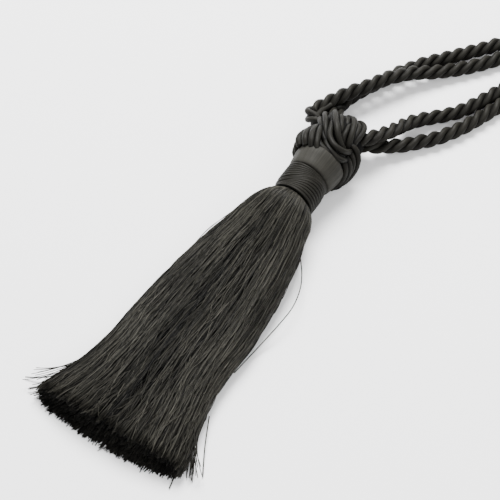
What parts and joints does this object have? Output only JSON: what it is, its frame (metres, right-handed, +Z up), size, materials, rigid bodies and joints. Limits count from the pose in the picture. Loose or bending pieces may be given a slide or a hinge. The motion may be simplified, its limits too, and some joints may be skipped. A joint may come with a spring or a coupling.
{
  "type": "curtain tieback tassel",
  "caption": "Curtain tieback lying flat: a cut-yarn tassel with bound neck and sleeved head, a rope knot and doubled rope arms with eyes.",
  "frame": {"origin": "on the skirt's flat underside, halfway along the skirt, where it rests on the surface", "axes": "+Y along the tassel from its cut end to the knot and rope arms, +Z up from the surface it lies on"},
  "size_m": [0.1304, 0.4852, 0.0281],
  "materials": {
    "skirt_yarn": "cut viscose yarn, charcoal grey, satin sheen",
    "binding_cord": "fine charcoal grey cord, tightly wound",
    "sleeve_yarn": "very fine charcoal grey yarn laid smooth",
    "rope": "three-ply satin rope, charcoal grey"
  },
  "bodies": {
    "root": {"skirt": "skirt_yarn", "neck_binding": "binding_cord", "head_sleeve": "sleeve_yarn", "knot": "rope", "cord_arm_back": "rope", "cord_arm_front": "rope"}
  },
  "joints": []
}
